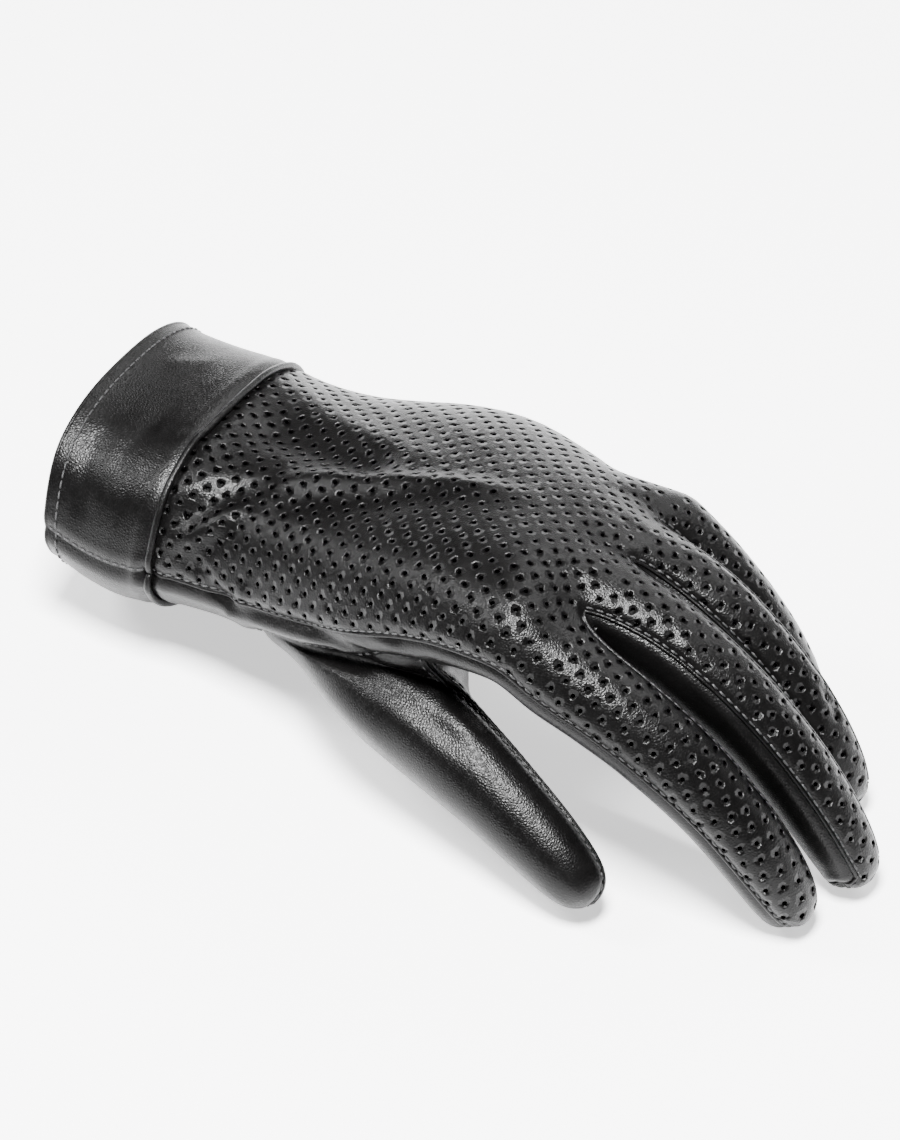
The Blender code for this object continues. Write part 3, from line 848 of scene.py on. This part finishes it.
def punchedPiece(name, found, triangles, rings, centres):
    # outer face, rounded rims, hole walls, inner face and edges as one closed sheet
    used = sorted({v for t in triangles for v in t})
    at = {v: i for i, v in enumerate(used)}
    count = len(used)
    outer = [found[v][0] for v in used]
    thick = punching["thickness"] * mm
    inner = [found[v][0] - found[v][1] * thick for v in used]
    up = [found[v][1] for v in used]
    hole = punching["holeRadius"] / punching["rimRadius"]
    lip = (punching["holeRadius"] + punching["lipWidth"]) / punching["rimRadius"]
    points, faces, shades, cut = outer + inner, [], [], []
    p, q, r = found[triangles[0][0]][0], found[triangles[0][1]][0], found[triangles[0][2]][0]
    flip = (q - p).cross(r - p).dot(found[triangles[0][0]][1]) < 0
    for t in triangles:
        t = [at[v] for v in (reversed(t) if flip else t)]
        faces.append(t)
        shades += [up[v] for v in t]
        t = t[::-1]
        cut.append(len(faces))
        faces.append([v + count for v in t])
        shades += [-up[v] for v in t]
    for ring, (centre, normal) in zip(rings, centres):
        if any(v not in at for v in ring):
            continue
        ring = [at[v] for v in ring]
        if flip:
            ring.reverse()
        inward = [(centre - points[v]).normalized() for v in ring]
        start = len(points)
        for v in ring:
            points.append(centre + (outer[v] - centre) * lip - up[v] * punching["rimSink"] * mm)
        for v in ring:
            points[v + count] = centre + (outer[v] - centre) * hole - up[v] * thick
        lips = [(up[v] + inward[k] * punching["lipTurn"]).normalized() for k, v in enumerate(ring)]
        for k in range(len(ring)):
            n = (k + 1) % len(ring)
            a, b = ring[k], ring[n]
            faces.append([b, a, start + k, start + n])
            shades += [up[b], up[a], lips[k], lips[n]]
            cut.append(len(faces))
            faces.append([start + n, start + k, a + count, b + count])
            shades += [lips[n], lips[k], inward[k], inward[n]]
    sides = {}  # in the order the faces have them
    for f in faces:
        for pair in zip(f, f[1:] + f[:1]):
            sides[pair] = True
    for a, b in list(sides):
        if (b, a) not in sides and a < count and b < count:
            out = (points[b] - points[a]).cross(up[a]).normalized()
            faces.append([b, a, a + count, b + count])
            shades += [out] * 4
    piece = makePiece(name, points, faces)
    piece.data.normals_split_custom_set([tuple(s) for s in shades])
    return piece, cut


print("perforated back")
found, triangles, triangleTags, rings, centres = perforate(skin.part(backTags))
print(len(centres), "holes", len(triangles), "faces")
for tag in backTags:
    own = [t for t, other in zip(triangles, triangleTags) if other == tag]
    name = tag[:-len("Back")]
    piece, cut = punchedPiece("perforated back, " + name, found, own, rings, centres)
    if name == "hand":
        finishPiece(piece, "perforated_leather", ["hand_back"])
    else:
        finishPiece(piece, "perforated_leather", [name + "_back", name + "_flex"], name)
    piece.data.materials.append(holeLeather)
    for index in cut:
        piece.data.polygons[index].material_index = 1


# plain panels

sheets = {  # mm
    "panel": 0.9,
    "sideStrip": 0.7,
    "lining": 0.4,
    "liningDepth": 1.4,  # from the outside of the leather to the lining
    "facingDepth": 1.1,
}


def panel(name, tags, nodes, stall=None, thick=sheets["panel"]):
    part = skin.part(tags)
    piece = makePiece(name, part.points, part.faces)
    thicken(piece, thick)
    finishPiece(piece, "smooth_leather", nodes, stall)


print("plain panels")
panel("palm panel", ["handPalm"], ["hand_palm"])
panel("cuff band, back", ["cuffBack"], ["cuff_back"])
panel("cuff band, palm", ["cuffPalm"], ["cuff_palm"])
for name in fingers:
    panel(name + " palm side", [name + "Palm"], [name + "_palm"], name)
    for side in ("Near", "Far"):
        tag, node = name + "Gusset" + side, side.lower()
        if tag in skin.tags:
            panel(name + " side strip, " + node, [tag], [name + "_gusset_" + node], name, sheets["sideStrip"])
panel("thumb, outer half", ["thumbOuter"], ["thumb_outer", "thumb_flex"], "thumb")
panel("thumb, inner half", ["thumbInner"], ["thumb_inner"], "thumb")


# lining

lined = dressed(smoothSkin(cage, 3), valleys)


def liner(name, tags, depth, slot, nodes, stall=None):
    part = lined.part(tags)
    piece = makePiece(name, part.points - part.normals * depth * mm, part.faces)
    thicken(piece, sheets["lining"])
    finishPiece(piece, slot, nodes, stall)


print("lining")
inside = sheets["liningDepth"]
liner("lining, hand", ["handBack", "handPalm"], inside, "lining_cloth", ["hand_lining"])
for name in fingers:
    liner("lining, " + name, fingerTags[name], inside, "lining_cloth", [name + "_lining"], name)
liner("lining, thumb", ["thumbOuter", "thumbInner"], inside, "lining_cloth", ["thumb_lining"], "thumb")
liner("cuff facing", ["cuffBack", "cuffPalm"], sheets["facingDepth"], "smooth_leather", ["cuff_facing"])


# seams: piped edges, welt, turned cuff edge and stitches

surface = BVHTree.FromPolygons([Vector(p) for p in skin.points], skin.faces)


def alongChain(chain, step):
    # even steps along a chain: place, direction and outward normal
    places = [Vector(skin.points[v]) for v in chain]
    normals = [Vector(skin.normals[v]) for v in chain]
    steps, rest = [], step * mm / 2
    for a, b, na, nb in zip(places, places[1:], normals, normals[1:]):
        length = (b - a).length
        while rest <= length:
            t = rest / length
            steps.append((a.lerp(b, t), (b - a).normalized(), na.lerp(nb, t).normalized()))
            rest += step * mm
        rest -= length
    return steps


def tubeMesh(chain, wide, high, lift, closed=False, sides=8, shift=0.0):
    # a rounded cord laid on the skin along the chain
    places = [Vector(skin.points[v]) for v in chain]
    normals = [Vector(skin.normals[v]) for v in chain]
    if closed:
        places, normals = places[:-1], normals[:-1]
    count = len(places)
    points, faces = [], []
    for i, (place, normal) in enumerate(zip(places, normals)):
        before = places[i - 1] if closed or i else place
        after = places[(i + 1) % count] if closed or i + 1 < count else place
        side = (after - before).cross(normal).normalized()
        for k in range(sides):
            a = 2 * math.pi * k / sides
            offset = side * (wide * math.cos(a) + shift) + normal * (high * math.sin(a) + lift)
            points.append(place + offset * mm)
    for i in range(count if closed else count - 1):
        for k in range(sides):
            n, j = (k + 1) % sides, (i + 1) % count
            faces.append([i * sides + k, i * sides + n, j * sides + n, j * sides + k])
    if not closed:
        faces.append(list(range(sides))[::-1])
        faces.append([(count - 1) * sides + k for k in range(sides)])
    return points, faces


def joined(parts):
    points, faces = [], []
    for more, moreFaces in parts:
        start = len(points)
        points += more
        faces += [[v + start for v in f] for f in moreFaces]
    return points, faces


stitchProfile = (  # place along the stitch, share of its radius, how deep it sinks
    (-0.5, 0.35, 0.9),
    (-0.36, 0.9, 0.25),
    (0.0, 1.0, 0.0),
    (0.36, 0.9, 0.25),
    (0.5, 0.35, 0.9),
)


def stitchMesh(place, way, normal, length, radius):
    # one short stitch with rounded, sunken ends
    side = way.cross(normal).normalized()
    points, faces = [], []
    for along, size, sink in stitchProfile:
        for k in range(6):
            a = math.pi * k / 3
            offset = side * math.cos(a) + normal * (math.sin(a) - sink)
            points.append(place + (way * along * length + offset * radius * size) * mm)
    for i in range(4):
        for k in range(6):
            n = (k + 1) % 6
            faces.append([i * 6 + n, i * 6 + k, i * 6 + 6 + k, i * 6 + 6 + n])
    faces.append([0, 1, 2, 3, 4, 5])
    faces.append([29, 28, 27, 26, 25, 24])
    return points, faces


stitching = {  # mm
    "seam": (2.5, 1.9, 0.3),  # spacing, length, radius
    "cuff": (2.7, 2.1, 0.28),
    "lift": 0.1,
    "fromSeam": 0.95,
    "fromPalmSeam": 0.9,
    "fromThumbSeam": 1.7,
    "fromThumbRoot": 1.0,
    "fromMouth": 3.0,
}
edging = {  # half width, half height and lift of each rounded edge, mm; whether it is a loop, and its sides
    "side": (0.55, 0.5, 0.1),
    "fingerBack": (0.5, 0.5, 0.15),
    "fingerPalm": (0.45, 0.45, 0.15),
    "thumb": (0.5, 0.6, 0.35),
    "welt": (1.0, 1.3, 0.2, True, 12),
    "mouth": (0.75, 1.05, -0.85, True, 12),
    "thumbPair": (-0.65, 0.65),  # the two lips of the thumb seam
}


def stitchRow(chains, toward, fromSeam, kind="seam"):
    # stitches beside the chains, on the panels named in toward
    made = []
    spacing, length, radius = stitching[kind]
    for chain in chains:
        for place, way, normal in alongChain(chain, spacing):
            side = way.cross(normal).normalized()
            for sign in (1, -1):
                spot, face, index, _ = surface.find_nearest(place + side * sign * fromSeam * mm)
                if skin.tags[index] in toward:
                    made.append(stitchMesh(spot + face * stitching["lift"] * mm, way, face, length, radius))
                    break
    return made


def edgeRow(chains, kind, shift=0.0):
    return [tubeMesh(chain, *edging[kind], shift=shift) for chain in chains]


def seamPiece(name, parts, slot, nodes=(), stall=None):
    if parts:
        finishPiece(makePiece(name, *joined(parts)), slot, nodes, stall)


def seam(first, second):
    return chainsOf(seamEdges(skin, first, second))


print("seams")
cuffTags, thumbTags = ["cuffBack", "cuffPalm"], ["thumbOuter", "thumbInner"]
beside = stitching["fromSeam"]
for chain in seam(["handBack"], ["handPalm"]):
    thumbSide = skin.points[chain[0]][1] < 0
    name, node = ("thumb", "seam_thumb_side") if thumbSide else ("little finger", "seam_little_side")
    sewnTo = ["handBack", "cuffBack", "indexBack", "littleBack"]
    seamPiece("side stitches, " + name, stitchRow([chain], sewnTo, beside), "black_thread", [node])
    seamPiece("side seam edge, " + name, edgeRow([chain], "side"), "smooth_leather")
for name in fingers:
    chains = seam([name + "Back"], [t for t in fingerTags[name] if t != name + "Back"])
    edges = edgeRow(chains, "fingerBack")
    stitches = stitchRow(chains, [name + "Back"], beside)
    chains = seam([name + "Palm"], [name + "GussetNear", name + "GussetFar"])
    edges += edgeRow(chains, "fingerPalm")
    stitches += stitchRow(chains, [name + "Palm"], stitching["fromPalmSeam"])
    seamPiece("seam edges, " + name, edges, "smooth_leather", stall=name)
    seamPiece("stitches, " + name, stitches, "black_thread", stall=name)
chains = seam(["thumbOuter"], ["thumbInner"])
lips = [lip for chain in chains for shift in edging["thumbPair"] for lip in edgeRow([chain], "thumb", shift)]
seamPiece("seam edges, thumb", lips, "smooth_leather", stall="thumb")
stitches = [stitch for chain in chains for tag in thumbTags
            for stitch in stitchRow([chain], [tag], stitching["fromThumbSeam"])]
seamPiece("stitches, thumb", stitches, "black_thread", stall="thumb")
stitches = stitchRow(seam(["handPalm"], thumbTags), ["handPalm"], stitching["fromThumbRoot"])
seamPiece("stitches, thumb root", stitches, "black_thread")
welt = edgeRow(seam(cuffTags, ["handBack", "handPalm"]), "welt")
seamPiece("cuff welt", welt, "smooth_leather", ["cuff_welt"])
cuff = skin.part(cuffTags)
mouthPlaces = {tuple(np.round(p, 7)) for p in cuff.points[sorted({v for e in borderEdges(cuff) for v in e})]}
mouth = chainsOf([e for e in borderEdges(skin) if tuple(np.round(skin.points[e[0]], 7)) in mouthPlaces])
seamPiece("turned cuff edge", edgeRow(mouth, "mouth"), "smooth_leather")
stitches = stitchRow(mouth, cuffTags, stitching["fromMouth"], "cuff")
seamPiece("cuff topstitch", stitches, "black_thread", ["mouth_stitch"])
for chain in seam(["cuffBack"], ["cuffPalm"]):
    side = "thumb side" if skin.points[chain[0]][1] < 0 else "little finger side"
    seamPiece("cuff joint stitches, " + side, stitchRow([chain], ["cuffBack"], beside), "black_thread")


# floor, light and camera

studio = {
    "floorSize": 8.0,
    "floorTones": ((0.86, 0.86, 0.87), (0.9, 0.9, 0.9)),
    "floorGlow": 1.2,
    "roomLight": 0.07,
    "softboxes": (  # name, place, aim, size, watts
        ("left softbox", (-0.95, -0.2, 0.92), (-0.07, 0, 0.04), (0.3, 0.36), 20),
        ("right softbox", (0.06, -0.2, 1.12), (0.04, -0.02, 0.06), (0.32, 0.36), 92),
        ("far softbox", (0.1, 1.0, 0.8), (0, 0, 0), (1.2, 0.4), 17),
    ),
    "cameraTurn": 30,  # degrees round from the front, and up
    "cameraRise": 45,
    "cameraAway": 1.6,
    "cameraAim": (-0.0184, 0.0159, 0.023),
    "frameWidth": 0.283,  # m across the view at the aim
}

print("studio")
bpy.ops.object.select_all(action="DESELECT")
bpy.ops.mesh.primitive_plane_add(size=studio["floorSize"], location=(0, 0, 0))
floor = bpy.context.object
floor.name = "pale_table"
made, nodes, links, shader = material("pale table")
place = nodes.new("ShaderNodeTexCoord")
cloud = nodes.new("ShaderNodeTexNoise")
cloud.inputs["Scale"].default_value = 3.0
links.new(place.outputs["Object"], cloud.inputs["Vector"])
tone = shadeFrom(nodes, links, shader, cloud.outputs["Fac"], *studio["floorTones"])
shader.inputs["Roughness"].default_value = 0.7
links.new(tone.outputs["Color"], shader.inputs["Emission Color"])
shader.inputs["Emission Strength"].default_value = studio["floorGlow"]
floor.data.materials.append(made)

world = bpy.context.scene.world or bpy.data.worlds.new("studio")
bpy.context.scene.world = world
world.use_nodes = True
world.node_tree.nodes["Background"].inputs["Color"].default_value = (1.0, 1.0, 1.0, 1.0)
world.node_tree.nodes["Background"].inputs["Strength"].default_value = studio["roomLight"]

for name, place, aim, size, power in studio["softboxes"]:
    bpy.ops.object.light_add(type="AREA", location=place)
    light = bpy.context.object
    light.name = name
    light.data.shape = "RECTANGLE"
    light.data.size, light.data.size_y = size
    light.data.energy = power
    light.rotation_euler = (Vector(aim) - Vector(place)).to_track_quat("-Z", "Y").to_euler()

bpy.ops.object.camera_add()
camera = bpy.context.object
camera.name = "camera"
turn, rise = math.radians(studio["cameraTurn"]), math.radians(studio["cameraRise"])
back = Vector((math.sin(turn) * math.cos(rise), -math.cos(turn) * math.cos(rise), math.sin(rise)))
camera.location = Vector(studio["cameraAim"]) + back * studio["cameraAway"]
camera.rotation_euler = back.to_track_quat("Z", "Y").to_euler()
camera.data.lens = camera.data.sensor_width * studio["cameraAway"] / studio["frameWidth"]
camera.data.clip_end = 20
bpy.context.scene.camera = camera
